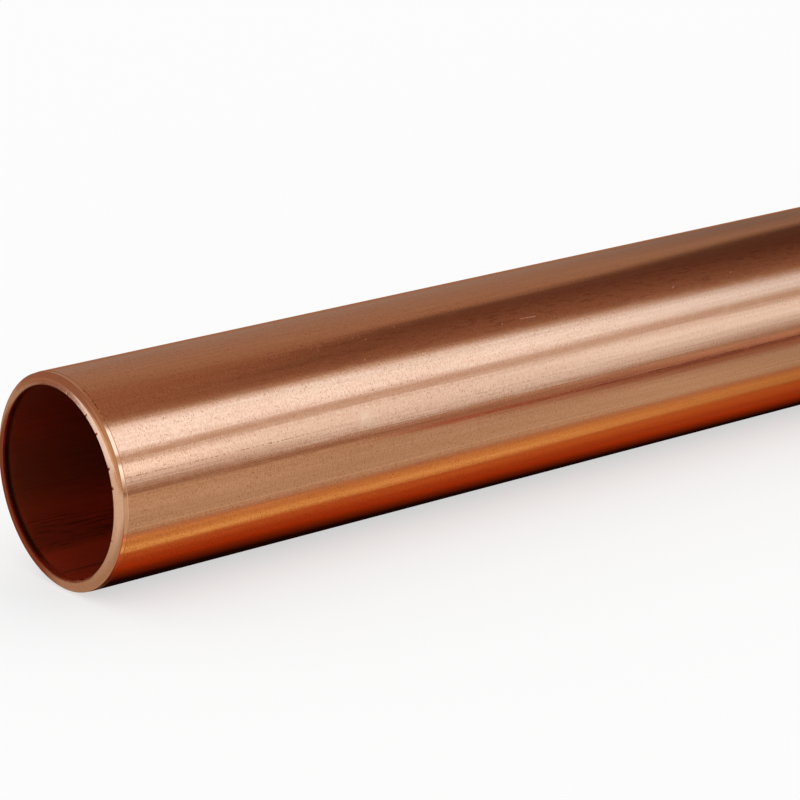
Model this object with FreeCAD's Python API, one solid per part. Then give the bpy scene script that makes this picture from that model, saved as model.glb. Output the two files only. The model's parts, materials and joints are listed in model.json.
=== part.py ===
import FreeCAD, Part
import os
import math

# Copper pipe: one straight length of half-hard drawn tube, lying on the floor along X.
# Millimetres. The origin is on the floor, under the middle of the pipe.

# Stock size
LENGTH = 1000.0
OUTSIDE_DIAMETER = 15.0
WALL = 1.0

# Inner edge of each cut end, opened to a slight cone by the reamer that took the burr off
MOUTH_DEPTH = 0.80      # how far the cone runs into the bore
MOUTH_WIDTH = 0.17      # how much it opens the bore at the end face

# End face and the outer edge that the cutting wheel rolled over
FACE_WIDTH = 0.30       # flat land left on the end face
ROLLED_DEPTH = 0.26     # how far the rolled edge drops back from the face

# Fine V groove that the cutting wheel left behind the rolled edge
GROOVE_WIDTH = 0.05
GROOVE_DEPTH = 0.025

# Narrow ring that the cutter's rollers burnished behind the groove
RING_WIDTH = 0.27
RING_DROP = 0.03        # how much lower the ring lies than the pipe's outside

# Worked out from the sizes above
OUTSIDE_RADIUS = OUTSIDE_DIAMETER / 2
BORE_RADIUS = OUTSIDE_RADIUS - WALL
MOUTH_RADIUS = BORE_RADIUS + MOUTH_WIDTH
LAND_RADIUS = MOUTH_RADIUS + FACE_WIDTH
RING_RADIUS = OUTSIDE_RADIUS - RING_DROP
RING_START = ROLLED_DEPTH + GROOVE_WIDTH
RING_END = RING_START + RING_WIDTH
SHOULDER_END = RING_END + RING_DROP     # a 45 degree step back up to the outside

AXIS_DIRECTION = FreeCAD.Vector(1, 0, 0)
AXIS_HEIGHT = FreeCAD.Vector(0, 0, OUTSIDE_RADIUS)


def section_point(side, inset, radius):
    """A point of the wall's section, inset from the cut at one end (side is -1 or 1)."""
    return FreeCAD.Vector(side * (LENGTH / 2 - inset), 0, radius)


def tangent_arc(start, tangent, end):
    """The arc that leaves start along tangent and runs to end."""
    chord = end - start
    turn = chord.getAngle(tangent)
    outward = tangent - chord * (tangent.dot(chord) / chord.dot(chord))
    outward.normalize()
    middle = (start + end) * 0.5 + outward * (chord.Length / 2 * math.tan(turn / 2))
    return Part.Arc(start, middle, end).toShape()


def end_section(side):
    """Edges of one cut end, from the bore round the rim to the outside of the pipe."""
    away_from_axis = FreeCAD.Vector(0, 0, 1)

    bore_end = section_point(side, MOUTH_DEPTH, BORE_RADIUS)
    face_inner = section_point(side, 0, MOUTH_RADIUS)
    face_outer = section_point(side, 0, LAND_RADIUS)
    groove_start = section_point(side, ROLLED_DEPTH, RING_RADIUS)
    groove_bottom = section_point(side, ROLLED_DEPTH + GROOVE_WIDTH / 2, RING_RADIUS - GROOVE_DEPTH)
    ring_start = section_point(side, RING_START, RING_RADIUS)
    ring_end = section_point(side, RING_END, RING_RADIUS)
    outside_start = section_point(side, SHOULDER_END, OUTSIDE_RADIUS)

    reamed_mouth = Part.makeLine(bore_end, face_inner)
    end_face = Part.makeLine(face_inner, face_outer)
    rolled_edge = tangent_arc(face_outer, away_from_axis, groove_start)
    groove_front = Part.makeLine(groove_start, groove_bottom)
    groove_back = Part.makeLine(groove_bottom, ring_start)
    burnished_ring = Part.makeLine(ring_start, ring_end)
    shoulder = Part.makeLine(ring_end, outside_start)
    return [reamed_mouth, end_face, rolled_edge, groove_front, groove_back, burnished_ring, shoulder]


def pipe():
    """The wall's section, turned once round the pipe's axis."""
    bore = Part.makeLine(section_point(-1, MOUTH_DEPTH, BORE_RADIUS),
                         section_point(1, MOUTH_DEPTH, BORE_RADIUS))
    outside = Part.makeLine(section_point(-1, SHOULDER_END, OUTSIDE_RADIUS),
                            section_point(1, SHOULDER_END, OUTSIDE_RADIUS))
    edges = [bore, outside] + end_section(-1) + end_section(1)
    section = Part.Face(Part.Wire(Part.sortEdges(edges)[0]))
    solid = section.revolve(FreeCAD.Vector(0, 0, 0), AXIS_DIRECTION, 360)
    solid.translate(AXIS_HEIGHT)
    return solid


copper_pipe = pipe()
assert copper_pipe.isValid()

os.makedirs("parts", exist_ok=True)
copper_pipe.exportStep("parts/copper_pipe.step")
print("copper_pipe: volume", round(copper_pipe.Volume, 2), "mm3, box", copper_pipe.BoundBox)
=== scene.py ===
import json
import math

import bmesh
import bpy
from bpy.props import FloatProperty, FloatVectorProperty, IntProperty, PointerProperty
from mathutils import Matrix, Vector, noise


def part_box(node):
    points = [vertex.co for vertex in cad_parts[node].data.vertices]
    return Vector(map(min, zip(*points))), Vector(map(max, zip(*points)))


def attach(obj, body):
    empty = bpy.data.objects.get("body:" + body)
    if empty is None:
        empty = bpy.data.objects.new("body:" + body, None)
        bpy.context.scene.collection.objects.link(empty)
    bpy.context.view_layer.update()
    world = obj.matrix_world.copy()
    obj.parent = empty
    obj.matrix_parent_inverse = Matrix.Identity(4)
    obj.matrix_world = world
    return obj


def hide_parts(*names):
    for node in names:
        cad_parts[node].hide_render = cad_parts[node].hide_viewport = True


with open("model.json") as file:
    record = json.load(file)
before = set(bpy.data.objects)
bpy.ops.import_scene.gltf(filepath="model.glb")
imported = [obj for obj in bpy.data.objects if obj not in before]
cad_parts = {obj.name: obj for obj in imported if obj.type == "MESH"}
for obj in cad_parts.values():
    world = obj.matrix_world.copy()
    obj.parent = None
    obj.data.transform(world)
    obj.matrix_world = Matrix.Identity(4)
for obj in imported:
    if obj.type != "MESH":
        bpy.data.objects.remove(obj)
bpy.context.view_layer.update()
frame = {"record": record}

bl_info = {
    "name": "Copper Pipe",
    "version": (1, 0, 0),
    "blender": (4, 5, 0),
    "location": "3D View > Sidebar > Copper Pipe",
    "description": "Builds a length of bright copper pipe with cut, deburred ends, and a studio for it",
    "category": "Object",
}

MM = 0.001
NODE = "copper_pipe"

MERGE_DISTANCE = 0.0001 * MM    # points of the section nearer than this are one point
TOUCHING = 0.001 * MM           # a distance below this counts as none
SHARP_ANGLE = math.radians(20)  # edges of the rim that bend more than this stay sharp
OTHER_END_TURN = 150            # degrees that the far end's nicks and burr are turned by
TENT_STEPS = 96                 # faces across the tent
TABLE_LIFT = 0.02 * MM          # gap between the floor and the card on it
FLOOR_GLOW = 0.6                # share of plain white in the floor, as the camera sees it


def mount_radius(name):
    """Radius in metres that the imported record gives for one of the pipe's mounts."""
    for mount in frame["record"]["mounts"]:
        if mount["name"] == name:
            return mount["dims"]["r_mm"] * MM
    raise KeyError(name)


NODE_LOW, NODE_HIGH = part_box(NODE)
OUTSIDE_RADIUS = mount_radius("left_end_outside")
BORE_RADIUS = mount_radius("left_end_bore")
HALF_LENGTH = (NODE_HIGH.x - NODE_LOW.x) / 2
AXIS = Vector(((NODE_LOW.x + NODE_HIGH.x) / 2, 0, NODE_LOW.z + OUTSIDE_RADIUS))
FLOOR_HEIGHT = NODE_LOW.z


def length(name, description, default):
    return FloatProperty(name=name, description=description, default=default, min=0, unit="LENGTH",
                         precision=5)


def colour(name, description, default):
    return FloatVectorProperty(name=name, description=description, default=default, size=3, min=0, max=1,
                               subtype="COLOR")


class PipeSettings(bpy.types.PropertyGroup):
    """Sizes of the pipe's cut ends and colours of its copper."""

    mouth_depth: length("Mouth depth", "How far the reamed mouth runs into the bore", 0.80 * MM)
    mouth_width: length("Mouth width", "How much the reamer opened the bore at the end face", 0.17 * MM)
    face_width: length("Face width", "Width of the flat land on the end face", 0.30 * MM)
    rolled_depth: length("Rolled depth", "How far the rolled outer edge drops back from the face", 0.26 * MM)
    ring_width: length("Ring width", "Width of the burnished ring behind the rolled edge", 0.32 * MM)
    ring_drop: length("Ring drop", "How much lower the ring lies than the outside", 0.03 * MM)
    groove: length("Groove", "Width of the fine groove between the rolled edge and the ring", 0.05 * MM)
    nick: length("Nick", "Half the width of the nicks in the cut's inner edge", 0.06 * MM)
    burr: length("Burr", "Height of the burr left along the bottom of the cut's inner edge", 0.05 * MM)
    steps_round: IntProperty(name="Steps round", description="Faces round the pipe", default=720, min=24)
    steps_arc: IntProperty(name="Steps in an arc", description="Faces across each rounded edge", default=8,
                           min=2)
    copper: colour("Copper", "Bright drawn copper", (0.97, 0.685, 0.53))
    dull: colour("Dull copper", "Copper where it has begun to dull", (0.86, 0.56, 0.41))
    # Also the colour of the painted highlight line along the pipe.
    scratch_and_highlight: colour("Scratched copper", "Newly bared copper in the pale marks", (1.0, 0.80, 0.66))
    # The pit colour is also the painted shade in the rim's groove, at its shoulder and along the cut's inner
    # edge.
    pit_and_shade: colour("Pits", "Inside the small pits", (0.44, 0.19, 0.095))
    burnished: colour("Burnished copper", "The ring that the cutter's rollers burnished", (1.0, 0.73, 0.56))
    burr_shade: colour("Burr", "Torn copper of the burr", (0.60, 0.42, 0.34))
    bore: colour("Bore", "Oxide-darkened copper inside the bore", (0.51, 0.14, 0.058))
    # Painted light: the red glow along the bore's bottom and on the lower steps of the rim.
    painted_red_glow: colour("Bore floor", "Redder, cleaner copper along the bore's bottom", (1.0, 0.15, 0.055))
    # The streak colour is also painted shade deeper in the bore and on the lower steps of the rim.
    streak_and_shade: colour("Bore streaks", "Darker streaks along the bore", (0.22, 0.07, 0.035))
    # Painted shade: the dark band just inside the cut.
    mouth: colour("Mouth", "Darkened copper just inside the cut", (0.15, 0.12, 0.11))


class StudioSettings(bpy.types.PropertyGroup):
    """Sizes and colours of the floor and of the studio that the copper mirrors."""

    floor: colour("Floor", "Plain pale floor", (0.95, 0.95, 0.95))
    upper_light: colour("Upper light", "The larger soft light", (1.0, 1.02, 1.03))
    lower_light: colour("Lower light", "The smaller soft light", (0.92, 0.91, 0.88))
    bar: colour("Bar", "The bar between the two lights", (0.54, 0.38, 0.28))
    flag: colour("Flag", "Dark flag overhead", (0.06, 0.018, 0.011))
    light_edge: colour("Edge of the light", "Where the far end of the upper light fades", (0.62, 0.31, 0.03))
    glow_peak: colour("Peak of the glow", "The brightest line of the orange glow beside the pipe",
                      (0.76, 0.44, 0.15))
    object_on_table: colour("Object on the table", "A low brown object on the table", (0.35, 0.16, 0.10))
    object_shadow: colour("Object's shadow", "The table in that object's shadow", (0.30, 0.125, 0.072))
    object_edge: colour("Object's edge", "The dark gap under that object", (0.13, 0.030, 0.022))
    object_tip: colour("Object's tip", "The redder end of that gap", (0.33, 0.055, 0.025))
    table_end: colour("End of the table", "The bare table beside the pipe's ends", (0.36, 0.23, 0.15))
    table_far: colour("Far end of the table", "The paler table farther from the pipe's ends",
                      (0.63, 0.51, 0.41))
    table_lit: colour("Lit end of the table", "The brightest part of the table, behind the pipe's ends",
                      (0.88, 0.84, 0.84))
    table_dim: colour("Dim end of the table", "The part of the table beyond the light", (0.24, 0.088, 0.052))
    table_red: colour("Red end of the table", "The part of the table in the pipe's own shadow",
                      (0.19, 0.055, 0.027))
    table_back: colour("Back of the table", "The table farther behind the pipe's ends", (0.31, 0.155, 0.09))
    table_patch: colour("Patch of the table", "A paler patch of the table behind the pipe's ends",
                        (0.40, 0.29, 0.20))
    table_room: colour("Table along the room", "The table far beyond the pipe's ends", (0.45, 0.26, 0.13))
    end_front: colour("End of the room in front", "The room beyond the lights' ends", (0.51, 0.31, 0.18))
    end_behind: colour("End of the room behind", "The dim end of the room behind the pipe",
                       (0.27, 0.125, 0.075))
    end_wall: colour("End wall", "The pale wall far beyond the pipe's ends", (0.65, 0.44, 0.27))
    floor_size: length("Floor size", "Side of the floor", 60.0)
    tent_radius: length("Tent radius", "Distance from the pipe to the studio's panels", 0.6)
    tent_length: length("Tent length", "Length of the studio's panels", 24.0)
    camera_distance: length("Camera distance", "From the camera to the point it aims at", 0.24905)
    aim_inset: length("Aim inset", "From the pipe's cut end to the point that the camera aims at", 0.02904)
    aim_rise: length("Aim rise", "Height of that point above the pipe's axis", 0.000086)
    camera_azimuth: FloatProperty(name="Camera azimuth", description="Turn of the camera round the pipe",
                                  default=math.radians(-38.525), unit="ROTATION")
    camera_elevation: FloatProperty(name="Camera elevation", description="Rise of the camera above level",
                                    default=math.radians(17.502), unit="ROTATION")
    camera_lens: FloatProperty(name="Focal length", description="Focal length of the lens in millimetres",
                               default=157.47, min=1)


class Value:
    """A shader socket, with the operators that the finishes are written in."""

    def __init__(self, tree, socket=None):
        self.tree = tree
        self.socket = socket

    def node(self, kind, settings=None, inputs=None, output=0):
        """Adds a node: its settings first, then the numbers or links of its sockets."""
        node = self.tree.nodes.new(kind)
        for name, setting in (settings or {}).items():
            if name == "stops":
                self._set_stops(node.color_ramp, setting)
            else:
                setattr(node, name, setting)
        for name, item in (inputs or {}).items():
            if isinstance(item, Value):
                self.tree.links.new(item.socket, node.inputs[name])
            else:
                node.inputs[name].default_value = item
        return Value(self.tree, node.outputs[output]) if len(node.outputs) else node

    @staticmethod
    def _set_stops(ramp, stops):
        ramp.interpolation = "LINEAR"
        while len(ramp.elements) > 1:
            ramp.elements.remove(ramp.elements[-1])
        for number, (place, shade) in enumerate(stops):
            element = ramp.elements[0] if number == 0 else ramp.elements.new(place)
            element.position = place
            element.color = (*shade, 1)

    def maths(self, operation, *others):
        """A Math node on this value and the others."""
        inputs = {0: self}
        inputs.update({number: other for number, other in enumerate(others, 1)})
        return self.node("ShaderNodeMath", {"operation": operation}, inputs)

    def __add__(self, other):
        return self.maths("ADD", other)

    def __radd__(self, other):
        return self + other

    def __sub__(self, other):
        return self.maths("SUBTRACT", other)

    def __rsub__(self, other):
        return self.maths("MULTIPLY", -1.0) + other

    def __mul__(self, other):
        return self.maths("MULTIPLY", other)

    def __rmul__(self, other):
        return self * other

    def __truediv__(self, other):
        return self.maths("DIVIDE", other)

    def smooth(self, low, high):
        """0 below low and 1 above high, with a smooth rise between them."""
        settings = {"interpolation_type": "SMOOTHSTEP"}
        return self.node("ShaderNodeMapRange", settings, {"Value": self, "From Min": low, "From Max": high})

    def mix(self, first, second):
        """first where this value is 0 and second where it is 1, both colours."""
        inputs = {0: self, 6: first, 7: second}
        return self.node("ShaderNodeMix", {"data_type": "RGBA"}, inputs, output=2)


def rgba(shade):
    return (*shade, 1.0)


class Finish:
    """One material: its tree, the object's coordinates and the shader that they feed."""

    def __init__(self, name):
        self.material = bpy.data.materials.new(name)
        self.material.use_nodes = True
        self.tree = self.material.node_tree
        self.tree.nodes.clear()
        self.start = Value(self.tree)
        self.place = self.start.node("ShaderNodeTexCoord", output="Object")

    def axes(self):
        """The place's x, y and z."""
        split = self.start.node("ShaderNodeSeparateXYZ", None, {0: self.place})
        node = split.socket.node
        return [Value(self.tree, node.outputs[number]) for number in range(3)]

    def drawn(self, along, across, detail=2.0):
        """Noise that is stretched along the pipe, as the draw lines are."""
        scale = (1 / along, 1 / across, 1 / across)
        place = self.start.node("ShaderNodeMapping", None, {"Vector": self.place, "Scale": scale})
        return self.start.node("ShaderNodeTexNoise", None, {"Vector": place, "Scale": 1.0, "Detail": detail})

    def even(self, size, detail=2.0):
        """Noise of that size in every direction."""
        return self.start.node("ShaderNodeTexNoise", None, {
            "Vector": self.place, "Scale": 1 / size, "Detail": detail})

    def surface(self, shader):
        self.start.node("ShaderNodeOutputMaterial", None, {"Surface": shader})
        return self.material

    def metal(self, base, metallic, roughness, relief, height, strength=1.0):
        """The Principled shader, with a bump of that height made from the relief."""
        bump = self.start.node("ShaderNodeBump", None, {
            "Strength": strength, "Distance": height, "Height": relief})
        return self.surface(self.start.node("ShaderNodeBsdfPrincipled", None, {
            "Base Color": base, "Metallic": metallic, "Roughness": roughness, "Normal": bump}))


def angle_round(finish):
    """Angle round the pipe in degrees: 0 at the side facing -Y, 90 at the top, negative below."""
    _, y, z = finish.axes()
    up = z - AXIS.z
    forward = y * -1.0
    return up.maths("ARCTAN2", forward) * math.degrees(1)


def band(value, middle, half_width, softness):
    """1 within half_width of middle, fading to 0 over softness on both sides."""
    return 1 - (value - middle).maths("ABSOLUTE").smooth(half_width, half_width + softness)


def facing(angle, direction):
    """Cosine of the turn from a direction round the pipe: 1 there, and -1 on the opposite side."""
    return ((angle - direction) * math.radians(1)).maths("COSINE")


def depth_from_cut(finish):
    """Distance from the nearer cut end, along the pipe."""
    x, _, _ = finish.axes()
    return HALF_LENGTH - x.maths("ABSOLUTE")


def radius_from_axis(finish):
    """Distance from the pipe's axis."""
    _, y, z = finish.axes()
    up = z - AXIS.z
    return (y * y + up * up).maths("SQRT")


def pits(finish, spacing, radius, share, squeeze=1.0):
    """Small pits of unlike sizes, one to a cell in that share of the cells. Squeeze shortens them."""
    scale = (squeeze / spacing, 1 / spacing, 1 / spacing)
    place = finish.start.node("ShaderNodeMapping", None, {"Vector": finish.place, "Scale": scale})
    cells = {"Vector": place, "Scale": 1.0, "Randomness": 1.0}
    distance = finish.start.node("ShaderNodeTexVoronoi", None, cells, output="Distance")
    chance = finish.start.node("ShaderNodeTexVoronoi", None, cells, output="Color")
    chosen = finish.start.node("ShaderNodeSeparateColor", None, {0: chance})
    size = (chosen * (0.5 / share) + 0.5) * (radius / spacing)
    inside = (distance / size).smooth(0.4, 1.2)
    return (1 - inside) * chosen.maths("LESS_THAN", share)


# Fine pale scratches: depth from the cut and angle round the pipe at the middle, length along and round
SCRATCHES = (
    (18.6 * MM, 62.7, 0.10 * MM, 2.0),
    (19.3 * MM, 63.2, 0.50 * MM, -0.8),
    (19.0 * MM, 60.6, 0.10 * MM, 2.4),
    (22.2 * MM, 63.6, 0.12 * MM, 1.6),
    (22.8 * MM, 63.9, 0.14 * MM, 2.2),
    (23.1 * MM, 60.5, 0.30 * MM, 0.6),
    (26.0 * MM, 65.0, 0.12 * MM, 1.4),
    (22.0 * MM, 48.4, 0.08 * MM, 0.7),
    (26.8 * MM, 44.5, 0.10 * MM, 1.4),
    (34.5 * MM, 50.9, 0.15 * MM, 0.8),
    (36.9 * MM, 51.4, 1.70 * MM, -0.7),
    (50.8 * MM, 49.7, 0.30 * MM, 1.5),
    (56.7 * MM, 50.8, 0.20 * MM, 1.1),
)


def hairlines(depth, angle):
    """1 along each of the fine scratches."""
    lines = None
    for middle, turn, length_along, length_round in SCRATCHES:
        along = depth - middle
        around = (angle - turn) * (math.radians(1) * OUTSIDE_RADIUS)
        end = Vector((length_along, math.radians(length_round) * OUTSIDE_RADIUS)) / 2
        direction = end.normalized()
        reach = along * direction.x + around * direction.y
        off = along * -direction.y + around * direction.x
        line = band(reach, 0, end.length * 0.6, end.length * 0.5) * band(off, 0, 0.01 * MM, 0.05 * MM)
        lines = line if lines is None else lines.maths("MAXIMUM", line)
    return lines


# Where the long marks lie on the outside: angle round the pipe in degrees, and distance from the cut
WORN_ANGLE = 54.5
DOTTED_MARK_ANGLE = 16.5
# The pale line is a painted highlight along the edge of the orange reflection.
PALE_HIGHLIGHT_ANGLE = -10.6
SMUDGE_ANGLE = 17.5
SMUDGE_DEPTH = 20.3 * MM


def outside_finish(settings):
    """Bright drawn copper: draw lines along the pipe, short grain across it, specks, pits, long marks and a
    painted highlight line.
    """
    finish = Finish("bright_drawn_copper")
    depth = depth_from_cut(finish)
    angle = angle_round(finish)
    fresh = 1 - depth.smooth(20 * MM, 56 * MM) * 0.52
    broad = finish.drawn(60 * MM, 2.2 * MM)
    lines = finish.drawn(9 * MM, 0.17 * MM, detail=3.0)
    grain = finish.drawn(0.10 * MM, 0.24 * MM)
    patches = finish.drawn(1.6 * MM, 0.6 * MM)
    mottle = finish.drawn(0.9 * MM, 0.5 * MM).smooth(0.45, 0.7)
    specks = pits(finish, 0.17 * MM, 0.060 * MM, 0.7, squeeze=1.6) * (patches.smooth(0.35, 0.6) * 0.7 + 0.3)
    large_pits = pits(finish, 1.1 * MM, 0.06 * MM, 0.35, squeeze=1.3)
    worn = band(angle, WORN_ANGLE, 6, 5) * depth.smooth(9 * MM, 16 * MM)
    stains = finish.drawn(1.1 * MM, 0.24 * MM).smooth(0.52, 0.68) * worn
    dots = finish.drawn(0.20 * MM, 0.12 * MM).smooth(0.42, 0.58)
    dots = dots * (1 - depth.smooth(10 * MM, 20 * MM) * 0.8)
    dotted_mark = band(angle, DOTTED_MARK_ANGLE, 0.08, 0.35) * dots
    pale_highlight_line = band(angle, PALE_HIGHLIGHT_ANGLE, 0.10, 0.35)
    smudge = band(depth, SMUDGE_DEPTH, 0.2 * MM, 0.6 * MM) * band(angle, SMUDGE_ANGLE, 1.0, 4.5)
    scratches = hairlines(depth, angle)

    grain_share = fresh * (0.75 - angle.smooth(60, 68) * 0.4) + worn * 0.5
    dullness = (broad.smooth(0.45, 0.75) * 0.35 + lines.smooth(0.35, 0.65) * (fresh * 0.25 + 0.25)
                + grain.smooth(0.3, 0.7) * grain_share)
    base = dullness.mix(rgba(settings.copper), rgba(settings.dull))
    marks = (specks * fresh + large_pits * fresh * 0.5 + dotted_mark * 0.85 + stains * 0.4
             + grain.smooth(0.45, 0.75) * (fresh - 0.35) * 0.22).maths("MINIMUM", 1.0)
    base = marks.mix(base, rgba(settings.pit_and_shade))
    # Real scratches and a smudge, with the painted highlight line on a rougher strip.
    bared = (pale_highlight_line * (0.6 + lines * 0.6) + smudge * 0.3 + scratches * 0.5).maths("MINIMUM", 1.0)
    base = bared.mix(base, rgba(settings.scratch_and_highlight))

    line_relief = lines * (0.8 - angle.smooth(18, 36) * 0.55)
    relief = (line_relief + grain * (fresh * 0.3 + 0.1) - specks * fresh * 0.15
              - large_pits * fresh * 0.5 + scratches * 0.6)
    roughness = (lines * 0.05 + broad * 0.04 + mottle * 0.04 + grain * 0.03 + 0.045
                 + marks * 0.16 + pale_highlight_line * 0.45 + scratches * 0.22)
    return finish.metal(base, 1.0, roughness, relief, 0.006 * MM)


def burr_share(finish, settings):
    """1 in the torn specks along the bottom of the cut's inner edge."""
    near_edge = band(radius_from_axis(finish), BORE_RADIUS + settings.mouth_width, 0.03 * MM, 0.10 * MM)
    at_cut = 1 - depth_from_cut(finish).smooth(0.15 * MM, 0.35 * MM)
    specks = finish.even(0.14 * MM).smooth(0.52, 0.62)
    angle = angle_round(finish)
    return (band(angle, -68, 12, 10) + band(angle, 65, 14, 8) * 0.7) * near_edge * at_cut * specks


def painted_inner_edge_shade(finish, settings, angle):
    """1 along the painted shade on the inner edge of the cut's face, which is wider at its head and its foot.
    """
    foot = band(angle, -76, 20, 8)
    head = band(angle, 92, 10, 8)
    from_edge = radius_from_axis(finish) - (BORE_RADIUS + settings.mouth_width) - (foot + head) * (0.05 * MM)
    shade_share = (1 - band(angle, 47, 17, 6)) * (1 - band(angle, -30, 14, 8) * 0.75)
    return (1 - from_edge.smooth(0.02 * MM, 0.08 * MM)) * shade_share * ((foot + head) * 0.25 + 0.7)


def rim_finish(settings):
    """The cut: smooth copper that the cutter and the reamer burnished, with painted shade in dark lines
    beside the ring.
    """
    finish = Finish("cut_rim_copper")
    depth = depth_from_cut(finish)
    angle = angle_round(finish)
    fine = finish.even(0.35 * MM)
    small_pits = pits(finish, 0.34 * MM, 0.05 * MM, 0.45)
    # Painted shade along the inner edge of the cut's face.
    inner_edge_shade = painted_inner_edge_shade(finish, settings, angle)
    burr = burr_share(finish, settings) * (1 - inner_edge_shade * 0.75)
    groove = band(depth, settings.rolled_depth + settings.groove / 2, settings.groove / 2, 0.03 * MM)
    ring = band(depth, settings.rolled_depth + settings.ring_width / 2, settings.ring_width / 2, 0.02 * MM)
    ring_end = settings.rolled_depth + settings.ring_width
    shoulder = band(depth, ring_end + settings.ring_drop / 2, settings.ring_drop / 2, 0.02 * MM)
    torn = finish.even(0.2 * MM, detail=1.0).smooth(0.4, 0.55)
    torn_shoulder = (band(depth, ring_end + settings.ring_drop, 0.06 * MM, 0.05 * MM)
                     * band(angle, 57, 11, 5) * torn)

    base = (fine.smooth(0.4, 0.7) * 0.3 * (1 - ring)).mix(rgba(settings.copper), rgba(settings.dull))
    base = ring.mix(base, rgba(settings.burnished))
    # Real pits and torn copper, with painted shade in the groove, at the shoulder and along the inner edge.
    dark = (small_pits * 0.6 + groove * 0.3 + shoulder * 0.1 + torn_shoulder * 0.9
            + inner_edge_shade).maths("MINIMUM", 1.0)
    base = dark.mix(base, rgba(settings.pit_and_shade))
    # Painted reflections on the groove and the shoulder: a red glow low on the pipe and painted shade lower
    # still.
    step = (shoulder + groove).maths("MINIMUM", 1.0)
    base = (step * (1 - angle.smooth(-14, -6)) * 0.6).mix(base, rgba(settings.painted_red_glow))
    base = (step * (1 - angle.smooth(-38, -26)) * 0.92).mix(base, rgba(settings.streak_and_shade))
    base = burr.mix(base, rgba(settings.burr_shade))
    relief = fine - small_pits * 1.2 + burr
    roughness = fine * 0.08 + 0.09 - ring * 0.05 + dark * 0.15 + burr * 0.3
    return finish.metal(base, 1 - burr, roughness, relief, 0.004 * MM, strength=0.4)


def bore_finish(settings):
    """The bore: a smooth mouth with painted shade, then duller copper with streaks along its lower half, a
    painted red glow along its bottom and painted shade deeper in.
    """
    finish = Finish("bore_copper")
    depth = depth_from_cut(finish)
    angle = angle_round(finish)
    inside = depth.smooth(0.30 * MM, 0.45 * MM)
    deep = depth.smooth(0.5 * MM, 12 * MM)
    floor = band(angle, -88, 21, 14)
    fine = finish.drawn(6 * MM, 0.12 * MM)
    streaks = finish.drawn(2.2 * MM, 0.075 * MM, detail=3.0).smooth(0.52, 0.60) * band(angle, -128.5, 9, 5)
    floor_streak = band(angle, -92.5, 0.5, 1.2)
    far_side_shade = facing(angle, 175).smooth(0.68, 0.98)
    deep_side_shade = band(angle, 150, 12, 14) * deep
    burr = burr_share(finish, settings) * 0.3

    # Painted light: a red glow along the bore's bottom and low on its far side, stronger deeper in.
    redder = (floor + band(angle, -130, 8, 26) * (deep * 0.45 + 0.22)).maths("MINIMUM", 1.0)
    base = redder.mix(rgba(settings.bore), rgba(settings.painted_red_glow))
    lip = 1 - depth.smooth(0.06 * MM, 0.2 * MM)
    base = (lip * (1 - floor) * 0.2).mix(base, rgba(settings.copper))
    # Real streaks, with painted shade on the far side and deeper in.
    dark = (streaks * (0.68 - deep * 0.2) + floor_streak * 0.5 + fine.smooth(0.4, 0.7) * 0.2
            + far_side_shade * (deep * 0.3 + 0.25) + deep_side_shade * 0.3).maths("MINIMUM", 1.0) * inside
    base = dark.mix(base, rgba(settings.streak_and_shade))
    # Painted shade in the mouth, strongest on one side and fading round the others.
    mouth = band(depth, 0.31 * MM, 0.09 * MM, 0.19 * MM) * facing(angle, -165).smooth(0.25, 0.9)
    base = mouth.mix(base, rgba(settings.mouth))
    base = burr.mix(base, rgba(settings.burr_shade))
    roughness = inside * (deep * 0.15 + 0.27) + 0.08 + burr * 0.3
    oxide = (1 - mouth) * (floor * 0.045 + 0.045)
    metallic = 1 - oxide - burr * 0.9
    return finish.metal(base, metallic, roughness, fine * inside + burr, 0.01 * MM, strength=0.3)


def draw_line(bm, vert, x, radius):
    """Extrudes the section's last point to a new one, at x along the pipe and radius from its axis."""
    made = bmesh.ops.extrude_vert_indiv(bm, verts=[vert])["verts"][0]
    made.co = (x, 0, radius)
    return made


def draw_arc(bm, vert, tangent, x, radius, steps):
    """Spins the section's last point along the arc that leaves it on tangent and ends at x and radius."""
    end = Vector((x, 0, radius))
    chord = end - vert.co
    turn = 2 * tangent.angle(chord)
    side = chord - tangent * chord.dot(tangent)
    centre = vert.co + side.normalized() * (chord.length / 2 / math.sin(turn / 2))
    axis = tangent.cross(side).normalized()
    made = bmesh.ops.spin(bm, geom=[vert], cent=centre, axis=axis, angle=turn, steps=steps,
                          use_duplicate=False)
    last = [item for item in made["geom_last"] if isinstance(item, bmesh.types.BMVert)][0]
    if (last.co - end).length > TOUCHING:
        raise RuntimeError("the arc of the rim's section misses its end")
    return last


def rim_section(bm, settings):
    """Draws half of the wall's section: from the bore's middle round one cut end to the outside's middle."""
    cut = -HALF_LENGTH
    mouth_radius = BORE_RADIUS + settings.mouth_width
    land_radius = mouth_radius + settings.face_width
    ring_radius = OUTSIDE_RADIUS - settings.ring_drop
    ring_end = cut + settings.rolled_depth + settings.ring_width
    outwards = Vector((0, 0, 1))

    point = bm.verts.new((0, 0, BORE_RADIUS))
    point = draw_line(bm, point, cut + settings.mouth_depth, BORE_RADIUS)
    beside = settings.nick
    beside_radius = mouth_radius - settings.mouth_width * beside / settings.mouth_depth
    point = draw_line(bm, point, cut + beside, beside_radius)
    point = draw_line(bm, point, cut, mouth_radius)
    point = draw_line(bm, point, cut, mouth_radius + beside)
    point = draw_line(bm, point, cut, land_radius)
    point = draw_arc(bm, point, outwards, cut + settings.rolled_depth, ring_radius, settings.steps_arc)
    half_groove = settings.groove / 2
    point = draw_line(bm, point, cut + settings.rolled_depth + half_groove, ring_radius - half_groove)
    point = draw_line(bm, point, cut + settings.rolled_depth + settings.groove, ring_radius)
    point = draw_line(bm, point, ring_end, ring_radius)
    point = draw_line(bm, point, ring_end + settings.ring_drop, OUTSIDE_RADIUS)
    draw_line(bm, point, 0, OUTSIDE_RADIUS)


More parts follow.
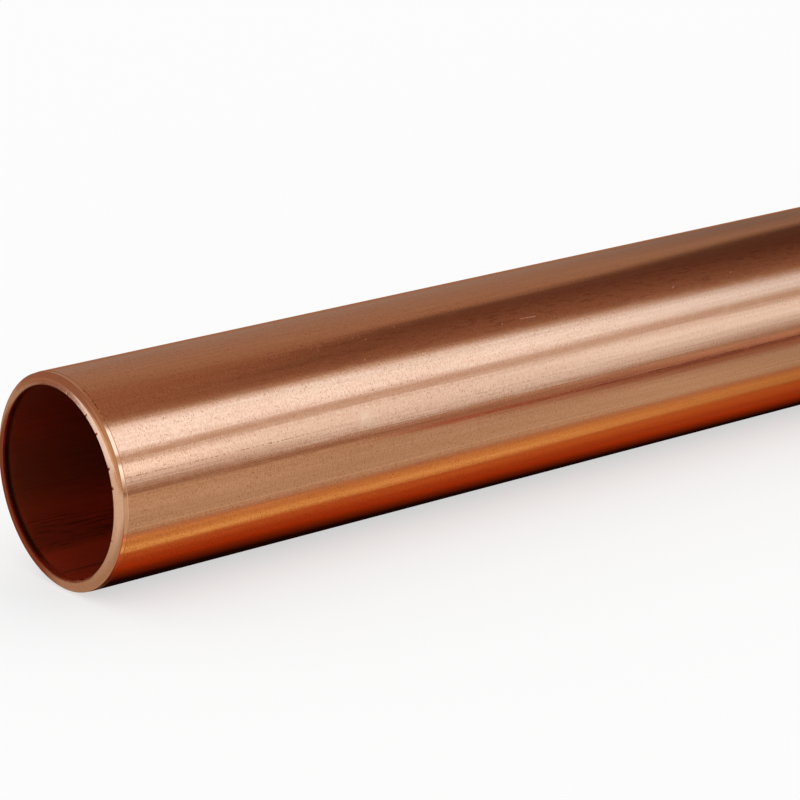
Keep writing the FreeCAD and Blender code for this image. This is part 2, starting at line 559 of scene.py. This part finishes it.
def finish_number(face, settings):
    """Material slot of a face: 0 for the outside, 1 for the cut rim, 2 for the bore."""
    middle = face.calc_center_median()
    inset = HALF_LENGTH - abs(middle.x)
    rim_inset = settings.rolled_depth + settings.ring_width + settings.ring_drop
    radius = math.hypot(middle.y, middle.z)
    if radius < (OUTSIDE_RADIUS + BORE_RADIUS) / 2:
        return 1 if inset < TOUCHING else 2
    return 1 if inset < rim_inset else 0


# Nicks in the inner edge of the photographed end, in degrees round the pipe as angle_round counts them
NICKS = (77, 57, 44, 23, 12, -20)
BURR = (-90, -50)


def damage_inner_edges(bm, settings):
    """Dents the nicks into the cut's inner edges and raises the burr along their bottom."""
    edge_radius = BORE_RADIUS + settings.mouth_width
    for vert in bm.verts:
        if HALF_LENGTH - abs(vert.co.x) > 1.5 * settings.nick:
            continue
        radius = math.hypot(vert.co.y, vert.co.z)
        if radius > edge_radius + 1.5 * settings.nick:
            continue
        angle = math.degrees(math.atan2(vert.co.z, -vert.co.y))
        if vert.co.x > 0:
            angle = (angle + 360 - OTHER_END_TURN) % 360 - 180
        out = Vector((0, vert.co.y, vert.co.z)) / radius
        inwards = Vector((-math.copysign(1, vert.co.x), 0, 0))
        on_edge = math.exp(-((radius - edge_radius) / settings.nick) ** 2 * 3)
        for number, nick in enumerate(NICKS):
            reach = settings.nick * (1 + 0.4 * math.sin(5 * number))
            across = math.radians(angle - nick) * edge_radius / reach
            if abs(across) < 1:
                depth = 0.55 * settings.nick * (1 - across ** 2) * on_edge
                vert.co += (out + inwards) * depth
        if BURR[0] < angle < BURR[1]:
            share = (angle - BURR[0]) / (BURR[1] - BURR[0])
            rough = noise.noise(vert.co / (0.09 * MM)) + 0.5 * noise.noise(vert.co / (0.04 * MM))
            vert.co -= out * (settings.burr * (0.5 + 1.6 * rough) * math.sin(math.pi * share) * on_edge)


def build_pipe(settings):
    """Turns the wall's section once round the axis and sets each face's finish."""
    bm = bmesh.new()
    rim_section(bm, settings)
    bmesh.ops.mirror(bm, geom=bm.verts[:] + bm.edges[:], axis="X", merge_dist=TOUCHING)
    bmesh.ops.remove_doubles(bm, verts=bm.verts[:], dist=MERGE_DISTANCE)
    bmesh.ops.spin(bm, geom=bm.verts[:] + bm.edges[:], cent=(0, 0, 0), axis=(1, 0, 0), angle=math.tau,
                   steps=settings.steps_round, use_merge=True, use_duplicate=False)
    bmesh.ops.recalc_face_normals(bm, faces=bm.faces[:])
    for face in bm.faces:
        face.smooth = True
        face.material_index = finish_number(face, settings)
    for edge in bm.edges:
        edge.smooth = edge.calc_face_angle(0) < SHARP_ANGLE
    damage_inner_edges(bm, settings)
    bmesh.ops.translate(bm, verts=bm.verts[:], vec=AXIS)
    mesh = bpy.data.meshes.new("pipe")
    bm.to_mesh(mesh)
    bm.free()
    return mesh


class PIPE_OT_build(bpy.types.Operator):
    """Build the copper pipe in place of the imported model's plain one"""

    bl_idname = "copper_pipe.build"
    bl_label = "Build Pipe"

    def execute(self, context):
        settings = context.scene.copper_pipe
        mesh = build_pipe(settings)
        for finish in (outside_finish, rim_finish, bore_finish):
            mesh.materials.append(finish(settings))
        pipe = bpy.data.objects.new("pipe", mesh)
        context.scene.collection.objects.link(pipe)
        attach(pipe, "root")
        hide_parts(NODE)
        return {"FINISHED"}


# The dim room, by direction round the pipe in degrees: 0 is level on the camera's side and 90 is
# straight up. Each band has a colour at its first and at its last angle.
ROOM_BANDS = (
    ("foot of the wall on the camera's side", -4, 4, (0.35, 0.21, 0.13), (0.36, 0.23, 0.15)),
    ("ceiling", 76, 102, (0.31, 0.145, 0.08), (0.30, 0.135, 0.075)),
    ("wall behind", 126, 150, (0.34, 0.195, 0.12), (0.33, 0.20, 0.14)),
    ("foot of the wall behind", 168, 184, (0.33, 0.22, 0.165), (0.34, 0.155, 0.08)),
)

# The table by distance from the pipe's centre line, in outside radii: on the camera's side the
# copper's own glow lies beside the pipe, and behind it the pipe's shadow does.
FRONT_BANDS = (
    ("under the pipe", 0.0, 0.46, (0.002, 0.001, 0.001), (0.008, 0.002, 0.001)),
    ("red glow", 0.61, 0.72, (0.155, 0.016, 0.002), (0.34, 0.035, 0.004)),
    ("deep red", 0.79, 0.84, (0.35, 0.050, 0.009), (0.35, 0.055, 0.011)),
    ("bright red line", 0.915, 0.955, (0.46, 0.095, 0.020), (0.47, 0.110, 0.022)),
    ("dark line", 1.0, 1.02, (0.41, 0.090, 0.019), (0.42, 0.095, 0.020)),
    ("orange glow", 1.12, 1.30, (0.66, 0.32, 0.100), (0.58, 0.25, 0.070)),
    ("edge of the orange glow", 1.42, 1.54, (0.51, 0.225, 0.078), (0.39, 0.165, 0.080)),
    ("bare table", 1.64, 2.4, (0.48, 0.335, 0.22), (0.47, 0.33, 0.22)),
    ("table", 3.1, 8.0, (0.47, 0.33, 0.225), (0.45, 0.30, 0.19)),
    ("far part of the table", 12, 22, (0.36, 0.20, 0.125), (0.36, 0.205, 0.135)),
    ("far end of the table", 60, 80, (0.42, 0.27, 0.18), (0.42, 0.27, 0.18)),
)
BACK_BANDS = (
    ("under the pipe", 0.0, 0.42, (0.002, 0.001, 0.001), (0.01, 0.002, 0.001)),
    ("orange glow", 0.9, 1.4, (0.25, 0.07, 0.025), (0.32, 0.12, 0.055)),
    ("shadow", 2.4, 4.4, (0.19, 0.045, 0.018), (0.17, 0.035, 0.012)),
    ("lit again", 7.5, 18, (0.38, 0.14, 0.055), (0.36, 0.14, 0.06)),
    ("far end of the table", 30, 40, (0.33, 0.145, 0.075), (0.33, 0.15, 0.08)),
)


def band_ramp(finish, place, bands, low, high, warp=lambda share: share):
    """A ramp over the bands' first and last places; warp bends the places as it does the input."""
    stops = []
    for _, first, last, first_shade, last_shade in bands:
        stops.append((warp((first - low) / (high - low)), first_shade))
        stops.append((warp((last - low) / (high - low)), last_shade))
    return finish.start.node("ShaderNodeValToRGB", {"stops": stops}, {0: place})


def scaled(finish, shade, factor):
    """A colour times a number."""
    return finish.start.node("ShaderNodeVectorMath", {"operation": "SCALE"}, {0: shade, "Scale": factor})


def glowing_panel(name, bm, finish, shade):
    """A panel of the studio that only mirrors show, and that lights nothing else."""
    mesh = bpy.data.meshes.new(name)
    bm.to_mesh(mesh)
    bm.free()
    mesh.materials.append(finish.surface(finish.start.node("ShaderNodeEmission", None, {"Color": shade})))
    panel = bpy.data.objects.new(name, mesh)
    bpy.context.scene.collection.objects.link(panel)
    panel.visible_camera = False
    panel.visible_diffuse = False
    panel.visible_shadow = False
    return panel


def overhead_flag(finish, x, angle):
    """Share of the dark flag overhead, which starts beside the cut end and widens along the pipe."""
    edge = x.smooth(-0.10, -0.02) * 14 + x.smooth(0.0, 0.16) * 21 + 100
    side = ((angle - edge) / (x.smooth(-0.05, 0.15) * 5 + 3)).smooth(-1, 1)
    streaky = finish.drawn(60 * MM, 22 * MM)
    body = (x - (angle - 82) * 0.0015 + (streaky - 0.5) * 0.06).smooth(-0.108, -0.078)
    flag = angle.smooth(62 - x.smooth(0.0, 0.12) * 10, 112) * (1 - side) * body
    mottled = finish.drawn(8 * MM, 30 * MM, detail=3.0)
    flag = flag * (x.smooth(0.0, 0.14) * 0.19 + 0.68 + (mottled - 0.5) * 0.5)
    tongues = (band(angle, 88, 1.5, 3.5) * band(x, -0.067, 0.014, 0.014) * 0.3
               + band(angle, 80, 0.8, 3.0) * band(x, -0.078, 0.025, 0.02) * 0.15)
    return (flag + tongues).maths("MINIMUM", 1.0)


def soft_lights(finish, settings, x, angle):
    """Colour of the two soft lights with the bar between them, and the share of each place that is lit."""
    far = x.smooth(0.0, 0.12)
    middle = band(x, -0.02, 0.045, 0.05)
    upper = scaled(finish, settings.upper_light, 1.1 - x.smooth(0.02, 0.12) * 0.24
                   - angle.smooth(51, 60) * middle * 0.12)
    lower = scaled(finish, settings.lower_light, 1.28 - x.smooth(-0.125, -0.085) * 0.25
                   + x.smooth(0.0, 0.06) * 0.07 - x.smooth(0.06, 0.11) * 0.04)
    lights = angle.smooth(28, 42).mix(lower, upper)

    bar_angle = x.smooth(-0.14, -0.08) * 4.0 + x.smooth(0.0, 0.07) * 3.4 + 30
    bar_depth = 0.9 - x.smooth(-0.12, -0.06) * 0.16 + x.smooth(0.05, 0.11) * 0.1
    bar_width = 2.8 - x.smooth(-0.06, 0.0) * 1.2
    bar_softness = x.smooth(-0.06, 0.0) * 3.5 + 4.4
    bar = band(angle, bar_angle, bar_width, bar_softness) * bar_depth
    bar = bar + band(angle, bar_angle + 2, 2, 12) * 0.1
    lights = bar.mix(lights, rgba(settings.bar))

    from_top = angle - (74 - x.smooth(-0.15, 0.15) * 2 + middle * 0.8)
    fade = band(x, -0.05, 0.01, 0.05) * 2 - 15 - far * 7
    lights = ((far * 0.3 + 0.6) * from_top.smooth(-14, -3)).mix(lights, rgba(settings.light_edge))
    foot = x.smooth(-0.12, -0.03) * -16 + x.smooth(-0.02, 0.12) * 14.5 - 3
    full = 20 - band(x, -0.055, 0.005, 0.03) * 4 + x.smooth(-0.04, 0.0) * 2 + far
    return lights, angle.smooth(foot, full) * (1 - from_top.smooth(fade, 0))


def tent_shade(finish, settings, low, high):
    """Colour of the tent: the dim room, the flag overhead, the two soft lights and the ends of the room."""
    x, _, _ = finish.axes()
    angle = angle_round(finish)
    angle = angle + angle.maths("LESS_THAN", -90.0) * 360.0
    room = band_ramp(finish, (angle - low) / (high - low), ROOM_BANDS, low, high)
    room = scaled(finish, room, 1 - angle.smooth(130, 160) * x.smooth(0.0, 0.12) * 0.26)
    room = overhead_flag(finish, x, angle).mix(room, rgba(settings.flag))
    lights, lit = soft_lights(finish, settings, x, angle)
    shade = scaled(finish, lit.mix(room, lights), 1 - x.smooth(-0.15, 0.15) * 0.12)
    end_room = angle.smooth(50, 130).mix(rgba(settings.end_front), rgba(settings.end_behind))
    shade = (x * -1.0).smooth(0.25, 0.5).mix(shade, end_room)
    wall = ((angle - 175) * 0.010 - x).smooth(1.1, 1.7)
    return wall.mix(shade, rgba(settings.end_wall))


def build_tent(settings):
    """Long panels round the pipe: two lights on the camera's side and a dim room beyond."""
    low, high = ROOM_BANDS[0][1], ROOM_BANDS[-1][2]
    bm = bmesh.new()
    start = math.radians(low)
    across = Vector((0, -math.cos(start), math.sin(start))) * settings.tent_radius
    ends = [bm.verts.new(AXIS + across + Vector((side * settings.tent_length / 2, 0, 0))) for side in (-1, 1)]
    edge = bm.edges.new(ends)
    bmesh.ops.spin(bm, geom=[edge, *ends], cent=AXIS, axis=(1, 0, 0), angle=-math.radians(high - low),
                   steps=TENT_STEPS, use_duplicate=False)
    finish = Finish("tent_light")
    return glowing_panel("tent", bm, finish, tent_shade(finish, settings, low, high))


def table_side(finish, distance, bands):
    """Ramp of one side of the table. It runs on the distance's square root, so it is fine near the pipe."""
    high = bands[-1][2]
    place = (distance / high).maths("SQRT")
    return band_ramp(finish, place, bands, 0, high, warp=math.sqrt)


def table_front(finish, settings, inset, distance):
    """The table on the camera's side: the pipe's glow, the bare table and a low object that lies on it."""
    near_end = 1 - inset.smooth(0.5, 4.0)
    far_in = inset.smooth(3, 9)
    stretch = (near_end * distance.smooth(1.2, 1.5) + far_in * band(distance, 1.15, 0.08, 0.12)) * 0.04
    core = far_in * (1 - distance.smooth(0.7, 0.95)) * 0.07
    core = core - (1 - inset.smooth(1.5, 4.0)) * (1 - distance.smooth(0.95, 1.15)) * 0.07
    front = table_side(finish, distance / (stretch - core + 1), FRONT_BANDS)
    dark_line = band(distance, 1.02, 0.015, 0.04) * (1 - inset.smooth(3.5, 6.0)) * 0.3
    front = dark_line.mix(front, rgba(settings.object_tip))
    peak = band(distance, 1.18, 0.03, 0.05) * (1 - inset.smooth(4.5, 7.5)) * 0.5
    front = peak.mix(front, rgba(settings.glow_peak))
    glow = ((band(distance, 1.46, 0.03, 0.06) * 0.18 - band(distance, 1.34, 0.01, 0.04) * 0.12) * near_end
            - band(distance, 1.18, 0.06, 0.07) * inset.smooth(5.5, 8.5) * 0.14)
    farther = distance.smooth(4.5, 6.5) * (1 - distance.smooth(8, 14))
    open_table = ((1 - inset.smooth(2.0, 5.5)) * distance.smooth(2.2, 3.5) * 0.13
                  + (1 - inset.smooth(6.8, 7.8)) * farther * 0.10)
    front = scaled(finish, front, 1 + glow + open_table)

    shaded = distance.smooth(2.6, 4.2) * (1 - distance.smooth(5.4, 6.0)) * inset.smooth(5.2, 9.8)
    front = shaded.mix(front, rgba(settings.object_shadow))
    body = distance.smooth(5.6, 6.6) * (1 - distance.smooth(9, 16)) * inset.smooth(6.4, 8.4)
    front = (body * 0.8).mix(front, rgba(settings.object_on_table))
    edge_shade = inset.smooth(7.3, 10.5).mix(rgba(settings.object_tip), rgba(settings.object_edge))
    front = (band(distance, 5.8, 0.42, 0.35) * inset.smooth(6.2, 7.2)).mix(front, edge_shade)
    far_tone = inset.smooth(12.3, 18.5) * 0.80 - inset.smooth(18.5, 23.5) * 0.69 - 0.26
    glow_fade = (1 - distance.smooth(1.3, 2.0)) * inset.smooth(4.6, 9.5) * 0.08
    return scaled(finish, front, 1 + distance.smooth(7, 11) * far_tone - glow_fade
                  - (1 - distance.smooth(3, 6)) * inset.smooth(7.6, 10.2) * 0.16)


def table_beyond_end(settings, beyond, behind):
    """The table past the pipe's end: bare, lit farther out, and dim behind a slanting border."""
    end = beyond.smooth(0.1, 2.0).mix(rgba(settings.table_end), rgba(settings.table_far))
    end = beyond.smooth(5, 22).mix(end, rgba(settings.table_room))
    end = (beyond.smooth(1.0, 2.4) * behind.smooth(2.1, 3.1)).mix(end, rgba(settings.table_lit))
    dim = beyond.smooth(2.4, 3.3).mix(rgba(settings.table_red), rgba(settings.table_dim))
    dim = (behind.smooth(5.6, 7.2) * beyond.smooth(0.8, 2.4)).mix(dim, rgba(settings.table_back))
    patch = behind.smooth(4.8, 5.1) * (1 - beyond.smooth(3.18, 3.32))
    dim = patch.mix(dim, rgba(settings.table_patch))
    border = (beyond * 1.33 + 0.24).maths("MINIMUM", beyond * 0.94 + 1.44)
    return (behind - border).smooth(-0.3, 0.2).mix(end, dim)


def table_shade(finish, settings):
    """Colour of the table. Places count in outside radii, from the pipe's centre line and its nearer end."""
    _, y, _ = finish.axes()
    inset = depth_from_cut(finish) / OUTSIDE_RADIUS
    distance = y.maths("ABSOLUTE") / OUTSIDE_RADIUS
    front = table_front(finish, settings, inset, distance)
    back = table_side(finish, distance, BACK_BANDS)
    beside = y.maths("GREATER_THAN", 0.0).mix(front, back)
    beyond = inset * -1.0
    end = table_beyond_end(settings, beyond, y / OUTSIDE_RADIUS)
    return beyond.smooth(-0.26, 0.0).mix(beside, end)


def build_table(settings):
    """A card on the floor, twice as long as the pipe, that gives its underside a dim surface to mirror."""
    bm = bmesh.new()
    bmesh.ops.create_grid(bm, x_segments=1, y_segments=1, size=0.5)
    size = (4 * HALF_LENGTH, 2 * settings.tent_radius, 1)
    bmesh.ops.scale(bm, vec=size, verts=bm.verts[:])
    bmesh.ops.translate(bm, vec=(0, 0, FLOOR_HEIGHT + TABLE_LIFT), verts=bm.verts[:])
    finish = Finish("table_glow")
    return glowing_panel("table", bm, finish, table_shade(finish, settings))


def build_floor(settings):
    """The plain pale floor, which keeps the pipe's shadow."""
    bm = bmesh.new()
    bmesh.ops.create_grid(bm, x_segments=1, y_segments=1, size=settings.floor_size / 2)
    bmesh.ops.translate(bm, vec=(0, 0, FLOOR_HEIGHT), verts=bm.verts[:])
    mesh = bpy.data.meshes.new("floor")
    bm.to_mesh(mesh)
    bm.free()
    finish = Finish("pale_floor")
    rays = finish.start.node("ShaderNodeLightPath", output="Is Camera Ray")
    diffuse = finish.start.node("ShaderNodeBsdfDiffuse", None, {"Color": rgba(settings.floor)})
    white = finish.start.node("ShaderNodeEmission", None, {"Color": (1, 1, 1, 1), "Strength": 1.0})
    mixed = finish.start.node("ShaderNodeMixShader", None, {0: rays * FLOOR_GLOW, 1: diffuse, 2: white})
    mesh.materials.append(finish.surface(mixed))
    floor = bpy.data.objects.new("floor", mesh)
    bpy.context.scene.collection.objects.link(floor)


def build_world():
    """A plain white world."""
    world = bpy.data.worlds.new("studio")
    world.use_nodes = True
    world.node_tree.nodes.clear()
    start = Value(world.node_tree)
    background = start.node("ShaderNodeBackground", None, {"Color": (1, 1, 1, 1), "Strength": 1.0})
    start.node("ShaderNodeOutputWorld", None, {"Surface": background})
    bpy.context.scene.world = world


def build_camera(settings):
    """The camera at the photograph's viewing angle, aimed at the pipe's axis near its cut end."""
    azimuth, elevation = settings.camera_azimuth, settings.camera_elevation
    back = Vector((math.sin(azimuth) * math.cos(elevation), -math.cos(azimuth) * math.cos(elevation),
                   math.sin(elevation)))
    aim = Vector((NODE_LOW.x + settings.aim_inset, AXIS.y, AXIS.z + settings.aim_rise))
    data = bpy.data.cameras.new("camera")
    data.lens = settings.camera_lens
    data.sensor_width = 36
    data.clip_start = 0.01
    data.clip_end = 200
    camera = bpy.data.objects.new("camera", data)
    camera.location = aim + back * settings.camera_distance
    camera.rotation_mode = "QUATERNION"
    camera.rotation_quaternion = (-back).to_track_quat("-Z", "Y")
    bpy.context.scene.collection.objects.link(camera)
    bpy.context.scene.camera = camera


class PIPE_OT_studio(bpy.types.Operator):
    """Build the floor, the studio's panels, the world and the camera"""

    bl_idname = "copper_pipe.studio"
    bl_label = "Build Studio"

    def execute(self, context):
        settings = context.scene.copper_pipe_studio
        build_floor(settings)
        build_table(settings)
        build_tent(settings)
        build_world()
        build_camera(settings)
        context.scene.view_settings.view_transform = "Standard"
        context.scene.cycles.max_bounces = 24
        context.scene.cycles.glossy_bounces = 16
        return {"FINISHED"}


class PIPE_PT_panel(bpy.types.Panel):
    """Sizes, colours and buttons of the copper pipe"""

    bl_idname = "PIPE_PT_panel"
    bl_label = "Copper Pipe"
    bl_space_type = "VIEW_3D"
    bl_region_type = "UI"
    bl_category = "Copper Pipe"

    def draw(self, context):
        for title, group, operator in (
                ("Pipe", context.scene.copper_pipe, PIPE_OT_build),
                ("Studio", context.scene.copper_pipe_studio, PIPE_OT_studio)):
            box = self.layout.box()
            box.label(text=title)
            for name in group.bl_rna.properties.keys():
                if name not in ("rna_type", "name"):
                    box.prop(group, name)
            box.operator(operator.bl_idname)


CLASSES = (PipeSettings, StudioSettings, PIPE_OT_build, PIPE_OT_studio, PIPE_PT_panel)


def register():
    for item in CLASSES:
        bpy.utils.register_class(item)
    bpy.types.Scene.copper_pipe = PointerProperty(type=PipeSettings)
    bpy.types.Scene.copper_pipe_studio = PointerProperty(type=StudioSettings)


def unregister():
    del bpy.types.Scene.copper_pipe_studio
    del bpy.types.Scene.copper_pipe
    for item in reversed(CLASSES):
        bpy.utils.unregister_class(item)


def main():
    register()
    bpy.ops.copper_pipe.build()
    bpy.ops.copper_pipe.studio()


if __name__ == "__main__":
    main()
